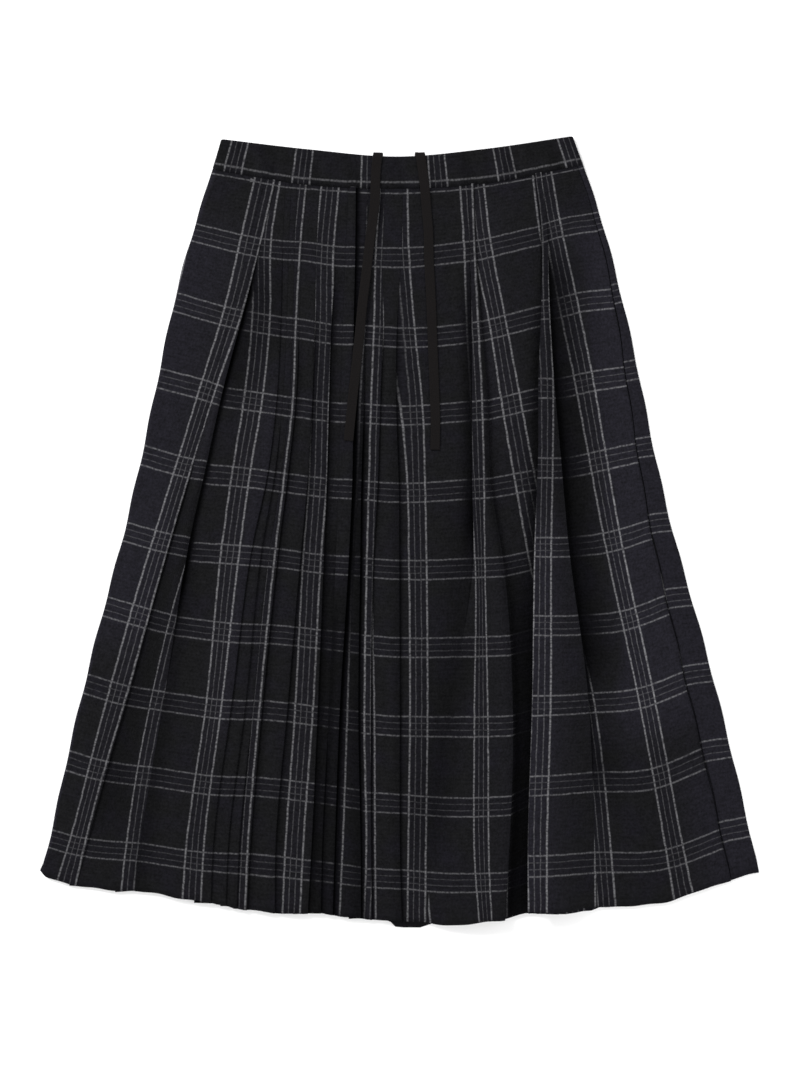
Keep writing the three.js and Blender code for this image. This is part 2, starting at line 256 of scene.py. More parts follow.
# Lines hidden at a section carry on from where they show.
WARP_LINES = table(
    "strip warp seam hip row2 row3 row4 row5 row7 row9 hem",
    ("side tuck", 0, -150, -164.3, -182, -205.4, -229.8, -253.8, -299.5, -341.1, -356.2),
    ("side tuck", 18.2, -130, -144, -163.8, -189.8, -214.8, -237.6, -281.8, -326, -337.5),
    ("left pleat", 18.2, -130, -144, -163.8, -189.8, -214.8, -238.2, -282.8, -327, -338.5),
    ("left pleat", 69.2, -88, -97, -118, -144, -184.6, -214.8, -256.9, -283.9, -289.6),
    ("second", 138.3, -143, -152.4, -152.9, -160.7, -173.2, -184.6, -200.2, -222, -225.7),
    ("second", 156.5, -124.3, -133.6, -134.7, -142, -155, -165.9, -184.6, -203.8, -206.4),
    ("fifth", 225.7, -97.2, -103, -107.6, -110.8, -119.6, -129, -145.1, -158.1, -160.7),
    ("seventh", 276.6, -81.1, -86.8, -88.4, -92, -94.1, -99.8, -108.2, -119.1, -121.7),
    ("tenth", 357.9, -48, -49, -50, -50, -50.6, -55, -60.2, -65.9, -68.5),
    ("tenth", 364, -29.6, -32.8, -36.9, -41.1, -44.2, -48.9, -54.1, -59.8, -62.4),
    ("beside centre", 415, -20.3, -24.4, -26.5, -29.6, -31.7, -33.8, -36.4, -34.8, -36.9),
    ("centre", 433.2, -24, -22, -17, -23, -26, -28.5, -26.1, -25.2, -24.6),
    ("flap left", 484.1, -18, -16, -14, 0.5, 8.3, 9.9, 10.9, 8.8, 8.3),
    ("flap left", 490.2, -3.9, -2.8, 5.0, 11.5, 14.4, 16, 17, 14.9, 14.4),
    ("flap left", 502.3, 8.3, 9.4, 15.6, 23.9, 26.5, 28.1, 29.1, 27, 26.5),
    ("flap left", 553.3, 62.9, 67.1, 70.2, 74.4, 77.5, 78, 78, 79, 83.2),
    ("flap right", 553.3, 57.7, 59.8, 64, 68.1, 73.5, 79, 78, 79, 83.2),
    ("flap right", 571.5, 75.4, 77.5, 81.6, 85.8, 87.4, 88.4, 91.5, 92.9, 95.2),
    ("ridge left", 622.4, 69.2, 75.9, 93.1, 105.6, 119.1, 133.6, 164.8, 162.8, 162.8),
    ("ridge left", 640.6, 87.4, 94.1, 109.7, 124.8, 139.9, 155.5, 183.6, 181.5, 181.5),
    ("ridge right", 691.6, 130.5, 135.7, 137.3, 140.9, 142, 140.4, 137.3, 132.4, 133.6),
    ("ridge right", 709.8, 147.2, 154.4, 155.5, 159.1, 158.6, 157, 156.5, 152.4, 152.4),
    ("seam", 779, 90, 99.3, 113.9, 130.5, 146.1, 161.7, 201.2, 220, 224.6),
    ("seam", 829.9, 140.9, 150.3, 164.8, 181.5, 196.6, 212.2, 247, 277.2, 286),
    ("seam", 848.1, 157.6, 166.4, 183.6, 200.2, 214.2, 228.8, 262.6, 294.3, 305.2),
)

# Strips with no line of their own are placed by where a pleat's edge lies on the cloth
EDGE_WARPS = table(
    "strip pleat warp",
    ("third", "second", 174),
    ("fourth", "third", 188),
    ("sixth", "sixth", 258),
    ("eighth", "seventh", 304),
    ("ninth", "eighth", 322),
)

# Height on the surface of the front's levels, at the edges and at the folds: side is -1 for the
# cloth on a fold's left, 1 for the cloth on its right and 0 where both lie alike. The levels are
# the waist seam, the first line of each of the check's nine rows, and the hem.
ROWS = "seam hip row2 row3 row4 row5 row6 row7 row8 row9 hem"
ROW_HEIGHTS = table(
    "place side " + ROWS,
    ("left", 0, 378.6, 321.4, 249.6, 170.6, 90.5, 10.4, -67.1, -147.7, -227.2, -309.9, -357.8),
    ("side tuck", 0, 368.4, 307.8, 233, 155, 75.9, -2.1, -80.1, -160.2, -238.7, -318.8, -368.2),
    ("left pleat", -1, 366.1, 305.2, 230.4, 151.3, 73.8, -5.2, -86.8, -165.9, -244.4, -323.4, -373.4),
    ("left pleat", 1, 366.1, 305.2, 230.4, 150.8, 70.7, -10.4, -87.9, -166.4, -244.4, -323.4, -373.4),
    ("second", 0, 364.5, 303.2, 224.1, 142.5, 64, -14.6, -95.2, -174.7, -253.8, -333.3, -385.8),
    ("fifth", 0, 362.6, 302.1, 222, 139.9, 60.8, -17.2, -96.2, -175.2, -254.8, -334.4, -393.6),
    ("seventh", 0, 360.3, 297.4, 216.3, 135.2, 56.2, -23.4, -101.4, -181, -261, -341.1, -396.8),
    ("tenth", -1, 358.4, 296.4, 215.3, 133.6, 54.1, -25.5, -105.6, -186.2, -267.8, -347.9, -401.4),
    ("tenth", 1, 358.4, 296.4, 215.3, 133.6, 53.6, -26.5, -106.6, -188.2, -269.9, -349.4, -402.5),
    ("centre", 0, 358, 295.9, 212.7, 131.6, 51, -29.1, -109.7, -191.4, -272.5, -351, -404.6),
    ("flap left", 0, 362.4, 302.6, 217.9, 136.2, 55.1, -27, -109.2, -191.9, -275.6, -353.6, -407.7),
    ("flap right", -1, 363, 303.2, 219.4, 137.3, 56.2, -25.5, -107.1, -190.3, -273.5, -352.6, -402.5),
    ("flap right", 1, 363, 303.2, 219.4, 137.3, 56.2, -25.5, -107.1, -190.3, -273.5, -352.6, -402.5),
    ("ridge left", -1, 373.4, 318.8, 235.6, 149.8, 65.5, -18.7, -100.9, -185.1, -265.2, -345.3, -397.3),
    ("ridge left", 1, 373.4, 319.3, 240.8, 159.6, 77, -5.2, -86.3, -169.5, -252.7, -334.9, -394.2),
    ("ridge right", 0, 374.6, 321.9, 241.8, 159.6, 77, -5.2, -86.3, -167.4, -249.6, -332.8, -391),
    ("right middle", 0, 378.6, 328.6, 250.1, 167.4, 85.3, 1, -81.1, -162.2, -246, -330.7, -383.8),
    ("right seam", 0, 382.2, 331.8, 253.2, 172.1, 92.6, 12.5, -66, -145.6, -225.7, -309.9, -361.9),
)
ROW_LEVELS = [0] + [WEFT_FIRST + WEFT_PERIOD * row for row in range(9)] + [LEVELS[-1]]
RIGHT_MIDDLE = 0.54

# The same for the back, where it wraps the right edge
BACK_HEIGHTS = table(
    "place " + ROWS,
    ("right seam", 382.2, 332.3, 257.4, 177.3, 97.2, 18.2, -59.8, -139.9, -218.4, -302.1, -357.8),
    ("right", 383.8, 333.3, 259.5, 179.9, 99.8, 20.8, -56.7, -135.7, -214.2, -296.4, -351.5),
)

# Pleats of the back, out from the middle: the edge's place at the seam and at the hem.
BACK_PLEATS = table("seam hem", (20, 42), (44, 98), (68, 155), (92, 212), (116, 268))
BACK_WARP_AT_SEAM = 713

# Waistband: its upper edge, its walls and their middle heights
BAND_TOP = table(
    "left right yLeft y25 y50 y75 yRight",
    (-185.6, 180.4, 408.7, 398, 390.5, 398.5, 411.8),
)[0]
BAND_WALL = 2.4
BAND_FRONT = 5.8
BAND_BACK = BAND_WALL / 2
BAND_TURN_AT = 0.96

# The band's check has its own place and period, and one line that runs round the waist. Only a
# share of the climb round the band's ends counts as cloth.
BAND_WARP_FIRST = 8.4
BAND_WARP_PERIOD = 71.9
BAND_LINE = 5.2
BAND_LINE_PERIOD = 200
BAND_CLIMB_SHARE = 0.5

# The band's lower edge laps over the body's cloth and sinks to it. The band has an even painted shade,
# and its puckers are painted as slanting waves of painted shade and light that fall off up the band.
# Each pucker row is a length, a strength and a start.
BAND_OVERLAP = 1.8
BAND_LIP = 0.8
BAND_LIP_REACH = 0.2
BAND_SHADE = 0.4
BAND_PUCKER_SHADING = ((23, 0.05, 0.7), (41, 0.06, 2.2), (11, 0.03, 0.1))
BAND_SHADING_SLANT = 2
BAND_SHADING_FALL = 0.6

# How finely the band is meshed
BAND_STEPS = 120
BAND_END_STEPS = 6
BAND_RISE_STEPS = 10
BAND_EDGE_STEPS = 6

# Drawstring tapes: each point is across, along and up, from inside the band to the free end.
# TAPE_EXIT is the number of the point where a tape comes out of the band.
TAPE_WIDTH = 10
TAPE_THICK = 1.0
TAPE_LEFT = [
    (-22.0, 380, 3.8), (-22.1, 392.2, 3.8), (-22.2, 394.4, 5.8), (-22.5, 392.2, 7.9),
    (-24.4, 376.5, 7.9), (-25.2, 356, 8.5), (-25.8, 340, 8.5), (-30.7, 303.7, 8.5),
    (-35.4, 262.1, 8.5), (-38, 241.3, 8.5), (-42.6, 194.5, 8.5), (-48.9, 137.3, 8.5),
    (-53, 94.6, 8.5),
]
TAPE_RIGHT = [
    (20.6, 380, 3.8), (20.9, 392.4, 3.8), (21.2, 394.6, 5.8), (21.6, 392.4, 7.9),
    (24, 376, 7.9), (26.2, 358, 7.6), (28.2, 335, 6.1), (29.9, 315, 5.9),
    (30.7, 282.9, 5.9), (32.8, 241.3, 5.9), (34.3, 199.7, 5.9), (35.9, 158.1, 5.9),
    (37.4, 116.5, 5.9), (36.9, 85.3, 5.9),
]
TAPE_RINGS = 240
TAPE_SIDE_STEPS = 12
TAPE_EDGE_STEPS = 4
ROUTE_STEPS = 24

# Lines of the check: width, softness of the sides, and strength. A group is a little wider than
# its outer lines, all wander by LINE_WANDER, and the wefts are dimmer.
WARP_BRIGHT = (1.7, 0.45)
WEFT_BRIGHT = (1.5, 0.45)
FAINT_LINE = (0.9, 0.4)
GROUP_SOFT = 1.5
GROUP_MARGIN = 3
LINE_WANDER = 1.2
FAINT_STRENGTH = 0.45
WEFT_STRENGTH = 0.62
SLUB_GAP = 0.25
LINE_COLOUR = (0.15, 0.149, 0.156)

# Ground of the cotton: neutral, and bluish in patches and in the groups. As painted light it is also
# bluish where little painted shade lies. Its puckered rows are painted lighter and darker as painted
# shade, and lines fade in deep painted shade.
GROUND_NEUTRAL = (0.0063, 0.0063, 0.0069)
GROUND_BLUE = (0.0074, 0.0069, 0.0102)
GROUP_BLUE = 0.7
LIT_SHADE = (0.36, 0.16)
DEEP_SHADE = (0.5, 0.72)
DEEP_LINES = 0.12
PUCKER_SPACING = 4.4
PUCKER_SWAY = 3.2
ROW_PUCKER_SHADE = 0.07
COTTON_SPECULAR = 0.1
COTTON_SHEEN = (0.75, 0.8, 1.0, 1)

# Noise in grains a metre of cloth, across and down it
SLUB_LONG = 300.0
SLUB_SHORT = 420.0
FLECK = (430.0, 400.0)
CRINKLE = (260.0, 120.0)
WANDER_GRAIN = 90
PATCH_GRAIN = 28
SWAY_GRAIN = 160
BLOT_GRAIN = 130
DOBBY_GRAIN = 900
TAPE_GRAIN = 700

# Ranges that noise is read between, and in some rows also what it is turned into
MIDDLE_RANGE = (0.3, 0.7)
SLUB_RANGE = (0.35, 0.62)
PATCH_RANGE = (0.42, 0.72)
FLECK_RANGE = (0.25, 0.75, 0.3, 1.45)
BLOT_RANGE = (0.3, 0.7, -0.1, 0.3)

# Relief and shine: each part's share of the height, then a bump's strength and depth in metres
DOBBY_RELIEF = 0.35
LINE_RELIEF = 0.25
ROW_RELIEF = 0.06
RIB_RELIEF = 0.3
COTTON_BUMP = (0.8, 0.0014)
TAPE_BUMP = (0.5, 0.0006)
COTTON_ROUGHNESS = (0.82, 0.95)
TAPE_ROUGHNESS = (0.7, 0.85)
TAPE_SPECULAR = 0.07

# Drawstring tape
TAPE_DARK = (0.0024, 0.0019, 0.0020)
TAPE_PALE = (0.0052, 0.0042, 0.0042)
TAPE_RIB = 1.1

# Studio, in metres and watts
FLOOR_REACH = 4.0
FLOOR_LEVEL = -0.0003
FLOOR_COLOUR = (0.92, 0.92, 0.92)
FLOOR_ROUGHNESS = 0.9
WORLD_LIGHT = 0.8
LIGHTS = table(
    "name place size power",
    ("key", (-1.9, 1.9, 2.1), 1.6, 128),
    ("fill", (1.8, -1.2, 2.6), 2.4, 52),
)


def smooth(t):
    """0 to 1 with a soft start and end."""
    t = np.clip(t, 0.0, 1.0)
    return t * t * (3 - 2 * t)


def along(values, down, levels=None):
    """A row of values given at each section, at any distances down the cloth."""
    levels = np.array(LEVELS if levels is None else levels, float)
    values = np.array(values, float)
    slopes = np.gradient(values, levels)
    i = np.clip(np.searchsorted(levels, down, side="right") - 1, 0, len(levels) - 2)
    span = levels[i + 1] - levels[i]
    t = (down - levels[i]) / span
    h = smooth(t)
    into = slopes[i] * span * t * (1 - t) ** 2
    out = slopes[i + 1] * span * t * t * (t - 1)
    return values[i] * (1 - h) + values[i + 1] * h + into + out


def column(name, down):
    """A column of the sections at any distances down the cloth."""
    return along([section[name] for section in SECTIONS], down)


def edge_line(row, down):
    """A pleat edge's or a warp line's place across, at any distances down the cloth."""
    return along([row[name] for name in LEVEL_NAMES], down)


def height_on(row, x):
    """Height of a row's level on the surface at a place across, from its five heights."""
    heights = [row[name] for name in ("yLeft", "y25", "y50", "y75", "yRight")]
    spans = len(heights) - 1
    t = np.clip((x - row["left"]) / (row["right"] - row["left"]), 0, 1) * spans
    i = min(int(t), spans - 1)
    padded = [2 * heights[0] - heights[1], *heights, 2 * heights[-1] - heights[-2]]
    before, here, there, after = padded[i:i + 4]
    f = t - i
    h = smooth(f)
    into = (there - before) / 2 * f * (1 - f) ** 2
    out = (after - here) / 2 * f * f * (f - 1)
    return here * (1 - h) + there * h + into + out


class Levels:
    """The skirt's outline at evenly spaced distances down the cloth."""

    def __init__(self, step=LEVEL_STEP):
        count = int(round(LEVELS[-1] / step)) + 1
        self.down = np.sort(np.append(np.linspace(0, LEVELS[-1], count), SEAM_LEVELS))
        self.edge = column("edge", self.down)
        self.seam_in = column("seamIn", self.down)
        self.middle = column("y50", self.down)
        past_row = self.down - WEFT_FIRST - 1.5 * WEFT_SPACING
        wave = EDGE_WAVE * np.cos(2 * math.pi * past_row / WEFT_PERIOD)
        wave = wave * smooth(self.down / WEFT_FIRST)
        self.left = column("left", self.down) + wave
        self.right = column("right", self.down) - wave
        self.front_seam = self.right - self.seam_in - GAP
        part = np.interp(self.down, LEVELS, np.linspace(0, 1, len(LEVELS)))
        self.opening = smooth((part - OPEN_FROM) / OPEN_OVER)
        self.towards_hem = smooth((part - HEM_LIFT_FROM) / HEM_LIFT_OVER)

    def base(self, x):
        """Height of the front's lowest ply."""
        from_edge = np.minimum(x - self.left, self.right - x)
        f = np.clip((from_edge - RAMP_START) / (RAMP_END - RAMP_START), 0, 1)
        return self.edge + (FRONT_BASE - self.edge) * f


class Wall:
    """The middle line of a panel's wall at every level, gathered column by column.

    A column's height on the surface is read at one place across, or lies between two.
    """

    def __init__(self):
        self.columns = {key: [] for key in ("x", "z", "warp", "read", "read_next", "share", "shade")}

    def add(self, x, z, warp, read, read_next=None, share=0.0, shade=0.0):
        row = (x, z, warp, read, read if read_next is None else read_next, share, shade)
        for key, value in zip(self.columns, row):
            self.columns[key].append(np.broadcast_to(np.asarray(value, float), x.shape))

    def __getitem__(self, key):
        return np.stack(self.columns[key], axis=1)


class RowHeights:
    """Height of each level on the surface, between the places that a table of heights names.

    The heights run smoothly across, and break where a row is given for a fold's right side.
    """

    def __init__(self, levels, rows, places):
        self.runs = [[]]
        for row in rows:
            if row.get("side", 0) == 1:
                self.runs.append([])
            x = np.broadcast_to(places[row["place"]], levels.down.shape)
            y = along([row[name] for name in ROWS.split()], levels.down, ROW_LEVELS)
            self.runs[-1].append((x, y))

    def at(self, x):
        y = np.empty_like(x)
        for j in range(len(x)):
            for run in self.runs:
                places = np.array([place[j] for place, _ in run])
                heights = np.array([height[j] for _, height in run])
                here = x[j] > places[0] if run is not self.runs[0] else slice(None)
                y[j, here] = along(heights, np.clip(x[j, here], places[0], places[-1]), places)
        return y


def warp_on(strip, x, levels):
    """Place on the cloth, across, of places x on a strip, from the check lines that it shows."""
    lines = [(row, row["warp"]) for row in WARP_LINES if row["strip"] == strip]
    for edge in EDGE_WARPS:
        pleats = [pleat for pleat in FRONT_PLEATS if pleat["name"] == edge["pleat"]]
        lines += [(pleat, edge["warp"]) for pleat in pleats if edge["strip"] == strip]
    places = [edge_line(row, levels.down) for row, _ in lines]
    warps = [warp for _, warp in lines]
    result = warps[0] + (x - places[0])
    for k in range(len(lines) - 1):
        slope = (warps[k + 1] - warps[k]) / (places[k + 1] - places[k])
        inside = warps[k] + (x - places[k]) * slope
        result = np.where(x > places[k], inside, result)
    if len(lines) > 1:
        result = np.where(x > places[-1], warps[-1] + (x - places[-1]), result)
    return result


def showing(row, levels, fade_in, fade_out):
    """How far a row's form shows at each level, from 0 to 1, between its start and its end."""
    opens = smooth((levels.down - row["starts"]) / fade_in)
    return opens * (1 - smooth((levels.down - row["ends"]) / fade_out))


def fold_strength(pleat, levels):
    """How far a pleat's fold shows at each level, from a faint line to 1."""
    shows = showing(pleat, levels, FOLD_FADE_IN, FOLD_FADE_OUT)
    stitched = STITCHED_FOLD + (1 - STITCHED_FOLD) * levels.opening
    return np.maximum(shows * stitched, FAINTEST_FOLD)


def roll_beside(distance):
    """How cloth rounds up beside a folded edge: steep at the edge, then falling off slowly."""
    return ROLL_HEIGHT * (1 - np.exp(-distance / ROLL_STEEP)) * np.exp(-distance / ROLL_LONG)


def turn(x, z0, z1, way, steps):
    """Points round a fold at x from height z0 to z1; way is 1 where it bulges right."""
    radius = np.abs(z1 - z0) / 2
    sign = np.sign(z1 - z0)
    points = []
    for i in range(steps + 1):
        angle = math.pi * (i / steps - 0.5)
        px = x - way * (radius + HALF) + way * radius * math.cos(angle)
        points.append((px, (z0 + z1) / 2 + sign * radius * math.sin(angle)))
    return points


def wrapped_edge(wall, levels):
    """Add the front's cloth from the left side seam underneath round the left edge."""
    first = FRONT_PLEATS[0]["name"]
    seam = levels.left + levels.seam_in - GAP
    for x in (seam, levels.left + levels.seam_in / 2 + WRAP_POINT):
        warp = warp_on(first, 2 * levels.left - x, levels)
        wall.add(x, np.full_like(x, UNDER), warp, x)
    radius = (levels.edge - UNDER) / 2
    for i in range(TURN_STEPS + 1):
        angle = -math.pi / 2 - math.pi * i / TURN_STEPS
        x = levels.left + HALF + radius + radius * math.cos(angle)
        z = UNDER + radius + radius * math.sin(angle)
        bend = (i - TURN_STEPS / 2) * radius * math.pi / TURN_STEPS
        wall.add(x, z, warp_on(first, levels.left, levels) + bend, x)
    return levels.left + HALF + radius


def front_wall(levels):
    """Middle line of the front, from the left side seam underneath to the right one on top."""
    wall = Wall()
    edges = [edge_line(pleat, levels.down) for pleat in FRONT_PLEATS]
    last = len(FRONT_PLEATS) - 1
    start_x, start_z = wrapped_edge(wall, levels), levels.edge
    start_edge, before_name = levels.left, "left"
    for k, pleat in enumerate(FRONT_PLEATS):
        name, way, x = pleat["name"], pleat["points"], edges[k]
        strength = fold_strength(pleat, levels)
        lift = strength * (pleat["lift"] + (pleat["hemLift"] - pleat["lift"]) * levels.towards_hem)
        if way == 1:
            neighbour = edges[k - 1] if k else levels.left + RAMP_START
        else:
            neighbour = edges[k + 1] if k < last else levels.front_seam
        crowned = 0 <= k - way <= last and FRONT_PLEATS[k - way]["points"] == -way
        width = np.abs(x - neighbour)
        room = CROWNED_PLEAT_ROOM * (width - GAP) if crowned else PLEAT_ROOM * (width - RISE_ROOM)
        inner = x - way * np.clip(room, SMALLEST_PLEAT, DEEPEST_PLEAT)
        ply = PLY * strength
        low = levels.base(inner)
        high = levels.base(x) + 2 * ply + lift
        path = turn(x, high, high - ply, way, TURN_STEPS)
        path += turn(inner, low + ply, low, -way, INNER_TURN_STEPS)
        if way == -1:
            path = path[::-1]
        end_x, end_z = path[0]

        # The strip up to this fold
        left_read, right_read = start_edge + 2 * FOLD_SIDE, x - 2 * FOLD_SIDE
        count = max(3, int(np.max(np.abs(end_x - start_x)) / STRIP_STEP))
        for i in range(1, count + 1):
            f = i / (count + 1)
            px = start_x + (end_x - start_x) * f
            beside = pleat["roll"] * strength * roll_beside(np.maximum(end_x - px, 0))
            base = levels.base(px)
            if way == -1:
                pz = base
            elif crowned:
                arch = 4 * f * (1 - f) * levels.opening * RIDGE_CROWN
                pz = start_z + (end_z - start_z) * smooth(f) + arch + beside * f
            else:
                clear = start_edge + CLEARANCE
                climb = np.maximum(inner - 2 * CLEARANCE, clear + 1)
                pz = base + 2 * ply * smooth((px - clear) / (climb - clear))
                pz = pz + lift * smooth((px - clear) / np.maximum(end_x - clear, 1))
                pz = pz + beside * smooth((px - clear) / ROLL_START)
            # The strip's painted shade, and how far it swells
            shade, rise = shade_at(px, before_name, start_edge, name, x, levels)
            read = np.clip(px, left_read, right_read)
            wall.add(px, pz + rise, warp_on(name, px, levels), read, shade=shade)

        # Round the fold, under the strip and on to the next one
        following = FRONT_PLEATS[k + 1]["name"] if k < last else "seam"
        shows = TURN_STEPS // 2
        warp_in = warp_on(name, path[0][0], levels)
        warp_out = warp_on(following, path[-1][0], levels)
        before, after = x - 2 * FOLD_SIDE, x + 2 * FOLD_SIDE
        for i, (px, pz) in enumerate(path):
            f = i / (len(path) - 1)
            if way == 1 and i <= shows:
                shade, _ = shade_at(px, before_name, start_edge, name, x, levels)
                wall.add(px, pz, warp_on(name, px, levels), before, shade=shade)
            elif way == -1 and i >= len(path) - 1 - shows:
                shade, _ = shade_at(px, name, x, following, x + FAR_EDGE, levels)
                wall.add(px, pz, warp_on(following, px, levels), after, shade=shade)
            else:
                warp = warp_in + (warp_out - warp_in) * f
                # Cloth inside the fold gets a dark painted shade, as much as the fold shows
                hidden = HIDDEN_SHADE * strength + PLAIN_SHADE * (1 - strength)
                wall.add(px, pz, warp, before, after, f, shade=hidden)
        start_x, start_z = path[-1]
        start_edge, before_name = x, name

    # The strip to the right side seam
    seam_x = levels.front_seam
    count = int(np.max(seam_x - start_x) / STRIP_STEP)
    for i in range(1, count + 1):
        px = start_x + (seam_x - start_x) * i / count
        # The strip's painted shade, and how far it swells
        shade, rise = shade_at(px, before_name, start_edge, "right seam", seam_x, levels)
        read = np.clip(px, start_edge + 2 * FOLD_SIDE, seam_x)
        wall.add(px, levels.base(px) + rise, warp_on("seam", px, levels), read, shade=shade)
    return wall


def shade_at(x, left_name, left, right_name, right, levels):
    """How much painted shade darkens the cloth, from 0 to 1, and how far it swells, between two edges.
    """
    shade = np.full_like(x, PLAIN_SHADE)
    rise = np.zeros_like(x)
    for row in SHADES:
        if row["edge"] == left_name and row["side"] == 1:
            off = x - left
        elif row["edge"] == right_name and row["side"] == -1:
            off = right - x
        else:
            continue
        shows = showing(row, levels, SHADE_FADE, SHADE_FADE)
        swell = np.sin(math.pi * np.clip(off / (2 * row["reach"]), 0, 1)) ** 2
        shade = shade + row["shade"] * (1 - smooth(off / row["reach"])) * shows
        rise = rise + row["rise"] * swell * shows * smooth((x - left) / RISE_CLEAR)
    # Painted shade in the deep fold left of the ridge, darkest where it is narrow
    if right_name == "ridge left":
        narrow = smooth((GAP_WIDE - (right - left)) / (GAP_WIDE - GAP_NARROW))
        into = smooth((x - left) / GAP_SIDE + GAP_SIDE_SHADE)
        into = into * smooth((levels.down - GAP_STARTS) / GAP_FADE)
        shade = np.maximum(shade, GAP_SHADE * narrow * into)
    return np.clip(shade, 0, DARKEST_SHADE), rise


def back_wall(levels):
    """Middle line of the back, from the left side seam underneath to the right one on top."""
    wall = Wall()
    part = (SECTIONS[0]["y50"] - levels.middle) / (SECTIONS[0]["y50"] - SECTIONS[-1]["y50"])
    right_side = [pleat["seam"] + (pleat["hem"] - pleat["seam"]) * part for pleat in BACK_PLEATS]
    edges = [(-x, 1) for x in reversed(right_side)] + [(x, -1) for x in right_side]
    xs = [levels.left + levels.seam_in]
    zs = [UNDER]

    def lead_to(x, z, step=2 * STRIP_STEP):
        count = max(1, int(np.max(np.abs(x - xs[-1])) / step))
        from_x, from_z = xs[-1], zs[-1]
        for i in range(1, count + 1):
            f = i / count
            xs.append(from_x + (x - from_x) * f)
            zs.append(from_z + (z - from_z) * f)

    innermost = UNDER + 2 * PLY
    for x, way in edges:
        inner = x - way * BACK_PLEAT_DEPTH
        path = turn(x, UNDER, UNDER + PLY, way, TURN_STEPS)
        path += turn(inner, UNDER + PLY, innermost, -way, TURN_STEPS)
        path.append((x + way * CLEARANCE, innermost))
        path.append((x + way * (CLEARANCE + RISE_ROOM), UNDER))
        if way == -1:
            path = path[::-1]
        lead_to(*path[0])
        for px, pz in path[1:]:
            xs.append(px)
            zs.append(pz)
    radius = (levels.edge - UNDER) / 2
    lead_to(levels.right - HALF - radius, UNDER)
    for i in range(1, TURN_STEPS + 1):
        angle = math.pi * (i / TURN_STEPS - 0.5)
        xs.append(levels.right - HALF - radius + radius * math.cos(angle))
        zs.append(UNDER + radius + radius * math.sin(angle))
    lead_to(levels.right - levels.seam_in, levels.edge, STRIP_STEP)
    x = np.stack(xs, axis=1)
    z = np.stack([np.broadcast_to(height, levels.down.shape) for height in zs], axis=1)
    steps = np.hypot(np.diff(x, axis=1), np.diff(z, axis=1))
    run = np.concatenate([np.zeros((len(x), 1)), np.cumsum(steps, axis=1)], axis=1)
    warp = BACK_WARP_AT_SEAM + run[:, -1:] - run
    for k in range(x.shape[1]):
        # Painted shade: lighter where the back wraps over on top
        on_top = smooth((z[:, k] - UNDER) / (levels.edge - UNDER))
        shade = PLAIN_SHADE + (WRAP_SHADE - PLAIN_SHADE) * on_top
        wall.add(x[:, k], z[:, k], warp[:, k], x[:, k], shade=shade)
    return wall


def make_piece(name, points, faces, places, material, shade=None):
    """An object from points in millimetres, with each point's place on the cloth and its painted shade.
    """
    mesh = bpy.data.meshes.new(name)
    mesh.from_pydata((points * MM).tolist(), [], faces)
    corners = np.empty(len(mesh.loops), dtype=np.int32)
    mesh.loops.foreach_get("vertex_index", corners)
    layer = mesh.uv_layers.new(name="UVMap")
    layer.data.foreach_set("uv", (places * MM)[corners].astype(np.float32).ravel())
    mesh.polygons.foreach_set("use_smooth", np.ones(len(mesh.polygons), dtype=bool))
    if shade is not None:
        depth = mesh.attributes.new("shade", "FLOAT", "POINT")
        depth.data.foreach_set("value", shade.ravel().astype(np.float32))
    mesh.update()
    piece = bpy.data.objects.new(name, mesh)
    piece.data.materials.append(material)
    bpy.context.scene.collection.objects.link(piece)
    return piece


def shell(name, middle, uv, shade, material):
    """A closed thin shell on a grid of middle points, half its thickness to each side.

    middle is rows x columns x 3 in millimetres, uv rows x columns x 2 in millimetres of cloth.
    """
    rows, columns = middle.shape[:2]
    across = np.gradient(middle, axis=1)
    down = np.gradient(middle, axis=0)
    normal = np.cross(down, across)
    normal /= np.maximum(np.linalg.norm(normal, axis=2, keepdims=True), 1e-9)
    top = middle + normal * SHELL / 2
    bottom = middle - normal * SHELL / 2
    points = np.concatenate([top.reshape(-1, 3), bottom.reshape(-1, 3)])
    index = np.arange(rows * columns).reshape(rows, columns)
    a, b, c, d = index[:-1, :-1], index[1:, :-1], index[1:, 1:], index[:-1, 1:]
    upper = np.stack([a, b, c, d], axis=-1).reshape(-1, 4)
    lower = upper[:, ::-1] + rows * columns
    ring = np.concatenate([index[0, :], index[1:, -1], index[-1, -2::-1], index[-2:0:-1, 0]])
    following = np.roll(ring, -1)
    rim = np.stack([ring, following, following + rows * columns, ring + rows * columns], axis=-1)
    faces = np.concatenate([upper, lower, rim]).tolist()
    places = np.concatenate([uv.reshape(-1, 2)] * 2)
    return make_piece(name, points, faces, places, material, np.concatenate([shade.ravel()] * 2))


def front_places(levels):
    """Places across of the edges and folds that the front's heights are given at."""
    places = {pleat["name"]: edge_line(pleat, levels.down) for pleat in FRONT_PLEATS}
    places["left"] = levels.left
    places["right seam"] = levels.front_seam
    ridge = places["ridge right"]
    places["right middle"] = ridge + RIGHT_MIDDLE * (levels.front_seam - ridge)
    return places


def hem_drop(x):
    """How far the back's hem lies below the front's at places across."""
    drop = np.full_like(x, -BACK_HEM_RISE)
    for start, end, depth in BACK_HEM_SHOWS:
        shows = smooth((x - start) / BACK_HEM_FADE + 0.5) * smooth((end - x) / BACK_HEM_FADE + 0.5)
        drop = drop + (depth + BACK_HEM_RISE) * shows
    return drop


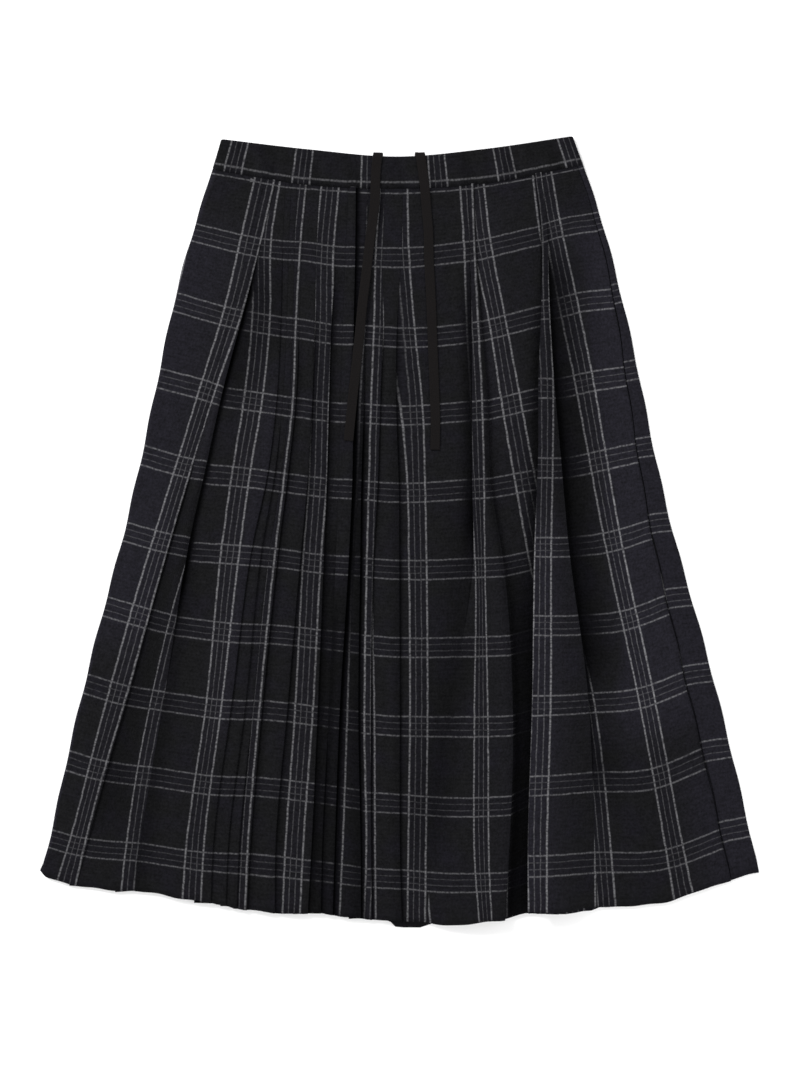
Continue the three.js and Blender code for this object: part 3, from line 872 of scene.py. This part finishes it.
def panel(name, levels, wall, heights, material, hem=None):
    """A skirt panel's shell from its wall, set on the levels' curves."""
    x, share = wall["x"], wall["share"]
    y = heights.at(wall["read"]) * (1 - share) + heights.at(wall["read_next"]) * share
    y[0] -= GAP
    near_hem = smooth((levels.down - LEVELS[-1] + HEM_REACH) / HEM_REACH)[:, None]
    for length, size, start in HEM_WAVES:
        y -= near_hem * size * np.sin(2 * math.pi * x / length + start)
    if hem is not None:
        y -= near_hem * hem(x)
    y += near_hem * CORNER_RISE * smooth((levels.left[-1] + CORNER_REACH - x) / CORNER_REACH) ** 2
    on_front = wall["z"] > FRONT_BASE - PLY
    z = wall["z"] + on_front * SEAM_RISE * (1 - smooth(levels.down / SEAM_REACH))[:, None]
    middle = np.stack([x, y, z], axis=-1)
    eased = levels.down - SEAM_EASE * np.clip(1 - levels.down / WEFT_FIRST, 0, 1)
    uv = np.stack([wall["warp"], np.broadcast_to(eased[:, None], x.shape)], axis=-1)
    return shell(name, middle, uv, wall["shade"], material)


def ring_faces(size, rings, joined):
    """Faces between rings of points, and from the last ring to the first where they join."""
    faces = []
    for j in range(rings if joined else rings - 1):
        here, there = j * size, (j + 1) % rings * size
        for k in range(size):
            following = (k + 1) % size
            faces.append((here + k, there + k, there + following, here + following))
    return faces


def band_stations():
    """Places round the band: part across, step sideways, height, and the angle of its outside."""
    radius = (BAND_FRONT - BAND_BACK) / 2
    centre = (BAND_FRONT + BAND_BACK) / 2
    stations = []
    for end, height, angle in ((1, BAND_FRONT, math.pi / 2), (0, BAND_BACK, -math.pi / 2)):
        for i in range(BAND_STEPS + 1):
            part = i / BAND_STEPS
            stations.append((part if end else 1 - part, 0, height, angle))
        for i in range(1, BAND_END_STEPS):
            out = angle - math.pi * i / BAND_END_STEPS
            stations.append((end, radius * math.cos(out), centre + radius * math.sin(out), out))
    return stations


def band_section():
    """Section of the doubled cloth: up the outside, round the top edge and down the inside."""
    half = BAND_WALL / 2
    section = [(i / BAND_RISE_STEPS * BAND_TURN_AT, half) for i in range(BAND_RISE_STEPS)]
    for i in range(BAND_EDGE_STEPS + 1):
        angle = math.pi * i / BAND_EDGE_STEPS
        section.append((BAND_TURN_AT + (1 - BAND_TURN_AT) * math.sin(angle), half * math.cos(angle)))
    return section + [(rise, -half) for rise, _ in reversed(section[:BAND_RISE_STEPS])]


def band(material):
    """The waistband: one flattened loop of doubled cloth, round both sides."""
    seam = SECTIONS[0]
    reach = (BAND_FRONT - BAND_BACK + BAND_WALL) / 2
    section = band_section()
    points, places = [], []
    run = 0.0
    before = None
    for f, dx, z, out in band_stations():
        for rise, step in section:
            low = seam["left"] + reach + (seam["right"] - seam["left"] - 2 * reach) * f
            high = BAND_TOP["left"] + reach + (BAND_TOP["right"] - BAND_TOP["left"] - 2 * reach) * f
            x = low + (high - low) * rise + dx + step * math.cos(out)
            y_low, y_high = height_on(seam, x), height_on(BAND_TOP, x)
            y = y_low + (y_high - y_low) * rise
            lip = 1 - smooth(rise / BAND_LIP_REACH)
            if step > 0 and out > 0:
                y -= BAND_OVERLAP * lip
            sunk = BAND_LIP * lip * (step > 0)
            point = (x, y, z + (step - sunk) * math.sin(out))
            if rise == 0 and step > 0:
                if before is not None:
                    climb = abs(before[2] - point[2])
                    run += math.dist(before[:2], point[:2]) + climb * BAND_CLIMB_SHARE
                before = point
            points.append(point)
            places.append((run, rise * (y_high - y_low)))
    size = len(section)
    count = len(points) // size
    faces = ring_faces(size, count, True)
    points = np.array(points)
    rises = np.array([rise for rise, _ in section])
    across = points[:, 0].reshape(count, size)
    # Painted shade, with the puckers painted as waves of shade and light
    shade = np.full((count, size), BAND_SHADE)
    for length, strength, start in BAND_PUCKER_SHADING:
        wave = np.sin(2 * math.pi * across / length + start + BAND_SHADING_SLANT * rises)
        shade += strength * wave * (1 - BAND_SHADING_FALL * rises)
    piece = make_piece("waistband_cloth", points, faces, np.array(places), material, shade)

    # The last stretch joins the loop, so its far side carries the run on
    layer = piece.data.uv_layers["UVMap"]
    for polygon in piece.data.polygons[-size:]:
        for loop_index in polygon.loop_indices:
            if piece.data.loops[loop_index].vertex_index < size:
                layer.data[loop_index].uv.x = (run + 1) * MM
    return piece


def blend(p, q, start, end, t):
    """A point on the line from p at start to q at end, where t is."""
    return p * ((end - t) / (end - start)) + q * ((t - start) / (end - start))


def smooth_route(points, count):
    """Evenly spaced points on a centripetal Catmull-Rom curve through a route's points."""
    places = [Vector(p) for p in points]
    places = [2 * places[0] - places[1]] + places + [2 * places[-1] - places[-2]]
    fine = []
    for i in range(1, len(places) - 2):
        near = places[i - 1:i + 3]
        stops = [0.0]
        for p, q in zip(near, near[1:]):
            stops.append(stops[-1] + (q - p).length ** 0.5)
        for k in range(ROUTE_STEPS):
            t = stops[1] + (stops[2] - stops[1]) * k / ROUTE_STEPS
            a = [blend(near[j], near[j + 1], stops[j], stops[j + 1], t) for j in range(3)]
            b = [blend(a[j], a[j + 1], stops[j], stops[j + 2], t) for j in range(2)]
            fine.append(blend(b[0], b[1], stops[1], stops[2], t))
    fine.append(places[-2])
    fine = np.array([tuple(p) for p in fine])
    steps = np.linalg.norm(np.diff(fine, axis=0), axis=1)
    run = np.concatenate([[0], np.cumsum(steps)])
    stops = np.linspace(0, run[-1], count)
    return np.stack([np.interp(stops, run, fine[:, k]) for k in range(3)], axis=1), run[-1]


def tape_section():
    """The tape's section, a flat bar with round edges, from its left edge."""
    w, h = TAPE_WIDTH / 2, TAPE_THICK / 2
    section = []
    for side in (1, -1):
        for i in range(TAPE_SIDE_STEPS + 1):
            section.append((side * (2 * (w - h) * i / TAPE_SIDE_STEPS - w + h), side * h))
        for i in range(1, TAPE_EDGE_STEPS):
            angle = side * math.pi / 2 - math.pi * i / TAPE_EDGE_STEPS
            section.append((side * (w - h) + h * math.cos(angle), h * math.sin(angle)))
    return section


def tape(name, node, route, material):
    """A free end of the flat woven drawstring, with rounded edges and a square end."""
    path, length = smooth_route(route, TAPE_RINGS)
    along_path = np.gradient(path, axis=0)
    along_path /= np.linalg.norm(along_path, axis=1, keepdims=True)
    across = np.array([1.0, 0, 0]) - along_path * along_path[:, :1]
    across /= np.linalg.norm(across, axis=1, keepdims=True)
    normal = np.cross(across, along_path)
    section = tape_section()
    size = len(section)
    points = np.stack([path + across * a + normal * b for a, b in section], axis=1)
    faces = [(a, d, c, b) for a, b, c, d in ring_faces(size, TAPE_RINGS, False)]
    faces.append(tuple(range(size))[::-1])
    faces.append(tuple(range((TAPE_RINGS - 1) * size, TAPE_RINGS * size)))
    stops = np.linspace(0, length, TAPE_RINGS)
    places = np.array([(a + TAPE_WIDTH / 2, stop) for stop in stops for a, _ in section])
    piece = make_piece(name, points.reshape(-1, 3), faces, places, material)
    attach(piece, "root")
    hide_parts(node)
    return piece


class Nodes:
    """A material's nodes, made and linked by short calls."""

    def __init__(self, name):
        self.material = bpy.data.materials.new(name)
        self.material.use_nodes = True
        self.tree = self.material.node_tree
        self.shader = self.tree.nodes["Principled BSDF"]
        uv = self.tree.nodes.new("ShaderNodeUVMap")
        uv.uv_map = "UVMap"
        self.uv = uv.outputs["UV"]

    def put(self, kind, inputs=(), **settings):
        node = self.tree.nodes.new(kind)
        for name, value in settings.items():
            setattr(node, name, value)
        for key, value in dict(inputs).items():
            if isinstance(value, bpy.types.NodeSocket):
                self.tree.links.new(value, node.inputs[key])
            else:
                node.inputs[key].default_value = value
        return node

    def math(self, operation, a, b=0.0, c=None):
        inputs = {0: a, 1: b}
        if c is not None:
            inputs[2] = c
        return self.put("ShaderNodeMath", inputs, operation=operation).outputs[0]

    def times(self, a, b):
        return self.math("MULTIPLY", a, b)

    def most(self, a, b):
        return self.math("MAXIMUM", a, b)

    def add_scaled(self, a, by, b):
        return self.math("MULTIPLY_ADD", a, by, b)

    def split(self, vector):
        node = self.put("ShaderNodeSeparateXYZ", {0: vector})
        return node.outputs["X"], node.outputs["Y"]

    def join(self, x, y, z=0.0):
        return self.put("ShaderNodeCombineXYZ", {"X": x, "Y": y, "Z": z}).outputs[0]

    def noise(self, vector, scale, detail=2.0, roughness=0.5):
        node = self.put(
            "ShaderNodeTexNoise",
            {"Vector": vector, "Scale": scale, "Detail": detail, "Roughness": roughness},
        )
        return node.outputs["Fac"]

    def stretched(self, across, down, grain, detail, roughness=0.5):
        """Noise with grains of their own across and down the cloth."""
        vector = self.join(self.times(across, grain[0]), self.times(down, grain[1]))
        return self.noise(vector, 1, detail, roughness)

    def ramp(self, value, low, high, out_low=0.0, out_high=1.0):
        node = self.put(
            "ShaderNodeMapRange",
            {"Value": value, "From Min": low, "From Max": high, "To Min": out_low, "To Max": out_high},
        )
        return node.outputs["Result"]

    def mix(self, factor, a, b):
        node = self.put("ShaderNodeMix", {"Factor": factor}, data_type="RGBA")
        for key, value in (("A", a), ("B", b)):
            socket = [s for s in node.inputs if s.name == key and s.type == "RGBA"][0]
            if isinstance(value, bpy.types.NodeSocket):
                self.tree.links.new(value, socket)
            else:
                socket.default_value = (*value, 1)
        return [s for s in node.outputs if s.type == "RGBA"][0]

    def scale(self, colour, factor):
        node = self.put("ShaderNodeVectorMath", {0: colour, "Scale": factor}, operation="SCALE")
        return node.outputs["Vector"]

    def bump(self, height, strength, distance):
        node = self.put("ShaderNodeBump", {"Strength": strength, "Distance": distance, "Height": height})
        self.link(node.outputs["Normal"], "Normal")

    def link(self, output, name):
        self.tree.links.new(output, self.shader.inputs[name])

    def fix(self, name, value):
        self.shader.inputs[name].default_value = value


def stripe_chart(nodes, coordinate, period, places, line):
    """1 on lines at places in each period of a coordinate, 0 between them."""
    width, soft = line
    shifted = nodes.math("ADD", coordinate, period * MM / 4)
    part = nodes.math("WRAP", shifted, period * MM, 0.0)
    total = None
    for place in places:
        off = nodes.math("SUBTRACT", part, (place + period / 4) * MM)
        off = nodes.math("ABSOLUTE", off)
        on_line = nodes.ramp(off, (width / 2 + soft) * MM, (width / 2 - soft) * MM)
        total = on_line if total is None else nodes.most(total, on_line)
    return total


def thread_lines(nodes, coordinate, period, spacing, bright, groups=True):
    """One set of the check's lines, and 1 inside its groups; or a lone line in each period."""
    outer = (0, 3 * spacing) if groups else (0,)
    lines = stripe_chart(nodes, coordinate, period, outer, bright)
    if not groups:
        return lines, None
    faint = stripe_chart(nodes, coordinate, period, (spacing, 2 * spacing), FAINT_LINE)
    lines = nodes.most(lines, nodes.times(faint, FAINT_STRENGTH))
    group = (3 * spacing + GROUP_MARGIN, GROUP_SOFT)
    return lines, stripe_chart(nodes, coordinate, period, (1.5 * spacing,), group)


def cotton(name, warp_first, warp_period, weft_first, weft_period, weft_groups=True):
    """Crinkled near-black cotton with grey-white slubby lines."""
    nodes = Nodes(name)
    across, down = nodes.split(nodes.uv)
    across = nodes.math("SUBTRACT", across, warp_first * MM)
    down = nodes.math("SUBTRACT", down, weft_first * MM)
    wander = nodes.math("SUBTRACT", nodes.noise(nodes.uv, WANDER_GRAIN, 1), 0.5)
    across_w = nodes.add_scaled(wander, LINE_WANDER * MM, across)
    down_w = nodes.add_scaled(wander, LINE_WANDER * MM, down)
    warp, in_group = thread_lines(nodes, across_w, warp_period, WARP_SPACING, WARP_BRIGHT)
    weft, weft_group = thread_lines(nodes, down_w, weft_period, WEFT_SPACING, WEFT_BRIGHT, weft_groups)
    if weft_groups:
        in_group = nodes.most(in_group, weft_group)

    # Slubs: the lines break into dashes along their own thread
    slub_warp = nodes.stretched(across, down, (SLUB_LONG, SLUB_SHORT), 2)
    slub_weft = nodes.stretched(across, down, (SLUB_SHORT, SLUB_LONG), 2)
    weft = nodes.times(weft, WEFT_STRENGTH)
    warp = nodes.times(warp, nodes.ramp(slub_warp, *SLUB_RANGE, SLUB_GAP, 1))
    weft = nodes.times(weft, nodes.ramp(slub_weft, *SLUB_RANGE, SLUB_GAP, 1))
    lines = nodes.most(warp, weft)

    # Ground: near-black and neutral, bluish in patches, where the check's pale threads run and, as
    # painted light, where little painted shade lies; the puckered rows get painted shade
    shade = nodes.put("ShaderNodeAttribute", attribute_name="shade").outputs["Fac"]
    patch = nodes.ramp(nodes.noise(nodes.uv, PATCH_GRAIN, 3), *PATCH_RANGE)
    blue = nodes.most(nodes.times(in_group, GROUP_BLUE), patch)
    # Painted light: the ground turns bluish where the painted shade is light
    blue = nodes.most(blue, nodes.ramp(shade, *LIT_SHADE))
    ground = nodes.mix(blue, GROUND_NEUTRAL, GROUND_BLUE)
    sway = nodes.noise(nodes.uv, SWAY_GRAIN, 2)
    row_place = nodes.add_scaled(sway, PUCKER_SWAY * MM, down)
    rows = nodes.math("SINE", nodes.times(row_place, 2 * math.pi / (PUCKER_SPACING * MM)))
    grain = nodes.ramp(nodes.stretched(across, down, FLECK, 3, 0.65), *FLECK_RANGE)
    blot = nodes.ramp(nodes.noise(nodes.uv, BLOT_GRAIN, 2), *BLOT_RANGE)
    # Random tone from flecks and blots, with the puckered rows painted lighter and darker as painted
    # shade
    grain = nodes.add_scaled(rows, ROW_PUCKER_SHADE, nodes.math("ADD", grain, blot))
    # Painted shade: the check's lines fade where the painted shade is deep
    lines = nodes.times(lines, nodes.ramp(shade, *DEEP_SHADE, 1, DEEP_LINES))
    colour = nodes.mix(lines, nodes.scale(ground, grain), LINE_COLOUR)
    # Painted shade and painted light: the colour is scaled by one minus the shade attribute
    light = nodes.math("SUBTRACT", 1.0, shade)
    nodes.link(nodes.scale(colour, light), "Base Color")

    # Crinkle, dobby and weave as bump
    crinkle = nodes.stretched(across, down, CRINKLE, 3, 0.6)
    dobby = nodes.noise(nodes.uv, DOBBY_GRAIN, 2)
    height = nodes.add_scaled(dobby, DOBBY_RELIEF, crinkle)
    height = nodes.add_scaled(lines, LINE_RELIEF, height)
    height = nodes.add_scaled(rows, ROW_RELIEF, height)
    nodes.bump(height, *COTTON_BUMP)
    nodes.link(nodes.ramp(dobby, *MIDDLE_RANGE, *COTTON_ROUGHNESS), "Roughness")
    # The same painted shade also dims the shine
    nodes.link(nodes.times(light, COTTON_SPECULAR), "Specular IOR Level")
    nodes.fix("Sheen Weight", 0.006)
    nodes.fix("Sheen Roughness", 0.5)
    nodes.fix("Sheen Tint", COTTON_SHEEN)
    return nodes.material


def tape_cotton():
    """Flat woven dark brown-black tape with a fine rib."""
    nodes = Nodes("drawstring_tape")
    _, run = nodes.split(nodes.uv)
    rib = nodes.math("SINE", nodes.times(run, 2 * math.pi / (TAPE_RIB * MM)))
    fleck = nodes.noise(nodes.uv, TAPE_GRAIN, 2)
    nodes.link(nodes.mix(nodes.ramp(fleck, *MIDDLE_RANGE), TAPE_DARK, TAPE_PALE), "Base Color")
    nodes.bump(nodes.add_scaled(rib, RIB_RELIEF, fleck), *TAPE_BUMP)
    nodes.link(nodes.ramp(fleck, *MIDDLE_RANGE, *TAPE_ROUGHNESS), "Roughness")
    nodes.fix("Specular IOR Level", TAPE_SPECULAR)
    nodes.fix("Sheen Weight", 0.01)
    return nodes.material


def camera():
    data = bpy.data.cameras.new("camera")
    data.lens = LENS
    data.sensor_fit = "VERTICAL"
    data.sensor_height = SENSOR
    data.clip_end = FAR_CLIP
    distance = PICTURE_HEIGHT * PIXEL * LENS / SENSOR
    eye = bpy.data.objects.new("camera", data)
    eye.location = [place * MM for place in (*PICTURE_MIDDLE, CLOTH_HEIGHT + distance)]
    bpy.context.scene.collection.objects.link(eye)
    bpy.context.scene.camera = eye


def area_light(name, place, size, power):
    """A round light that points at the middle of the skirt."""
    data = bpy.data.lights.new(name, "AREA")
    data.shape = "DISK"
    data.size = size
    data.energy = power
    lamp = bpy.data.objects.new(name, data)
    lamp.location = place
    lamp.rotation_euler = (-Vector(place)).to_track_quat("-Z", "Y").to_euler()
    bpy.context.scene.collection.objects.link(lamp)


def studio():
    """Plain pale floor, a hair below the cloth, and soft light, strongest from the upper left."""
    mesh = bpy.data.meshes.new("floor")
    sides = ((-1, -1), (1, -1), (1, 1), (-1, 1))
    corners = [(x * FLOOR_REACH, y * FLOOR_REACH, FLOOR_LEVEL) for x, y in sides]
    mesh.from_pydata(corners, [], [(0, 1, 2, 3)])
    material = bpy.data.materials.new("floor")
    material.use_nodes = True
    shader = material.node_tree.nodes["Principled BSDF"]
    shader.inputs["Base Color"].default_value = (*FLOOR_COLOUR, 1)
    shader.inputs["Roughness"].default_value = FLOOR_ROUGHNESS
    mesh.materials.append(material)
    floor = bpy.data.objects.new("floor", mesh)
    bpy.context.scene.collection.objects.link(floor)
    world = bpy.data.worlds.new("studio")
    world.use_nodes = True
    background = world.node_tree.nodes["Background"]
    background.inputs["Color"].default_value = (1, 1, 1, 1)
    background.inputs["Strength"].default_value = WORLD_LIGHT
    bpy.context.scene.world = world
    for row in LIGHTS:
        area_light(**row)
    bpy.context.scene.view_settings.view_transform = "Standard"


camera()
tape_material = tape_cotton()
tape("drawstring_left_tape", "drawstring_left", TAPE_LEFT, tape_material)
tape("drawstring_right_tape", "drawstring_right", TAPE_RIGHT, tape_material)

body_cotton = cotton("checked_cotton", 0, WARP_PERIOD, WEFT_FIRST + WEFT_LOWER, WEFT_PERIOD)
band_cotton = cotton(
    "band_cotton", BAND_WARP_FIRST, BAND_WARP_PERIOD, BAND_LINE, BAND_LINE_PERIOD, weft_groups=False
)

levels = Levels()
heights = RowHeights(levels, ROW_HEIGHTS, front_places(levels))
front = panel("skirt_front_cloth", levels, front_wall(levels), heights, body_cotton)

# The back's rows lie under the front's, and run on where it wraps the right edge
back_levels = Levels(2 * LEVEL_STEP)
back_places = front_places(back_levels)
back_places["right"] = back_levels.right
under = [row for row in ROW_HEIGHTS if row["place"] != "right seam"]
heights = RowHeights(back_levels, under + BACK_HEIGHTS, back_places)
back = panel("skirt_back_cloth", back_levels, back_wall(back_levels), heights, body_cotton, hem_drop)
band_piece = band(band_cotton)
for piece, node in ((front, "skirt_front"), (back, "skirt_back"), (band_piece, "waistband")):
    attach(piece, "root")
    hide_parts(node)
studio()
